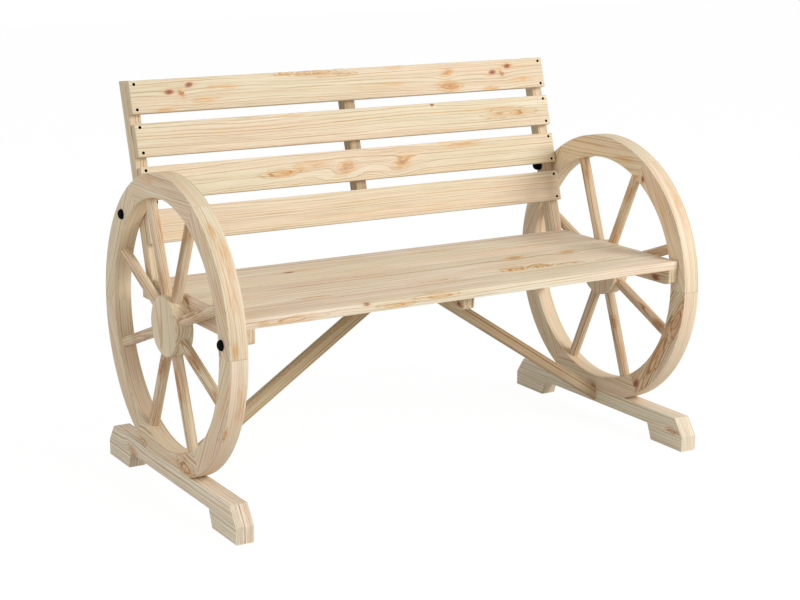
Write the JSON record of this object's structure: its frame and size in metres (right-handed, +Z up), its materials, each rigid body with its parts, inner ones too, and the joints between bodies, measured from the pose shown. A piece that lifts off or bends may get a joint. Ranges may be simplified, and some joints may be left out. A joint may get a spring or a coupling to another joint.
{
  "type": "wagon-wheel garden bench",
  "caption": "Garden bench of pale planed softwood with spoked wagon-wheel ends on notched base beams, a plank seat, a leaning slatted back and sloping braces under the seat.",
  "frame": {"origin": "on the floor, midway between the two wheels and under their centres", "axes": "+X to the viewer's right, seen from the front; +Y to the back; +Z up"},
  "size_m": [1.116, 0.62, 0.804],
  "materials": {
    "rim_wood": "matte",
    "spoke_wood": "matte",
    "hub_wood": "matte",
    "base_wood": "matte",
    "seat_wood": "matte",
    "back_wood": "matte",
    "frame_wood": "matte",
    "dowel_wood": "matte",
    "bright_steel": "satin",
    "black_steel": "satin",
    "black_plastic": "matte"
  },
  "bodies": {
    "root": {"back_slat_1": "back_wood", "back_slat_2": "back_wood", "back_slat_3": "back_wood", "back_slat_4": "back_wood", "base_screws": "bright_steel", "bolt_nuts": "bright_steel", "bolt_washers": "bright_steel", "brace_dowels": "dowel_wood", "centre_batten": "frame_wood", "centre_post": "frame_wood", "centre_post_screws": "bright_steel", "coach_screws": "bright_steel", "felloe_dowels": "dowel_wood", "frame_screws": "bright_steel", "hanger_bolts": "bright_steel", "lap_screws": "bright_steel", "left_batten": "frame_wood", "left_beam": "base_wood", "left_brace": "frame_wood", "left_felloe_1": "rim_wood", "left_felloe_2": "rim_wood", "left_felloe_3": "rim_wood", "left_felloe_4": "rim_wood", "left_felloe_5": "rim_wood", "left_felloe_6": "rim_wood", "left_hub": "hub_wood", "left_post": "frame_wood", "left_spoke_1": "spoke_wood", "left_spoke_2": "spoke_wood", "left_spoke_3": "spoke_wood", "left_spoke_4": "spoke_wood", "left_spoke_5": "spoke_wood", "left_spoke_6": "spoke_wood", "left_spoke_7": "spoke_wood", "left_spoke_8": "spoke_wood", "low_caps": "black_plastic", "right_batten": "frame_wood", "right_beam": "base_wood", "right_brace": "frame_wood", "right_felloe_1": "rim_wood", "right_felloe_2": "rim_wood", "right_felloe_3": "rim_wood", "right_felloe_4": "rim_wood", "right_felloe_5": "rim_wood", "right_felloe_6": "rim_wood", "right_hub": "hub_wood", "right_post": "frame_wood", "right_spoke_1": "spoke_wood", "right_spoke_2": "spoke_wood", "right_spoke_3": "spoke_wood", "right_spoke_4": "spoke_wood", "right_spoke_5": "spoke_wood", "right_spoke_6": "spoke_wood", "right_spoke_7": "spoke_wood", "right_spoke_8": "spoke_wood", "seat_board_front": "seat_wood", "seat_board_middle": "seat_wood", "seat_board_rear": "seat_wood", "slat_screws": "black_steel", "tall_caps": "black_plastic"}
  },
  "joints": []
}
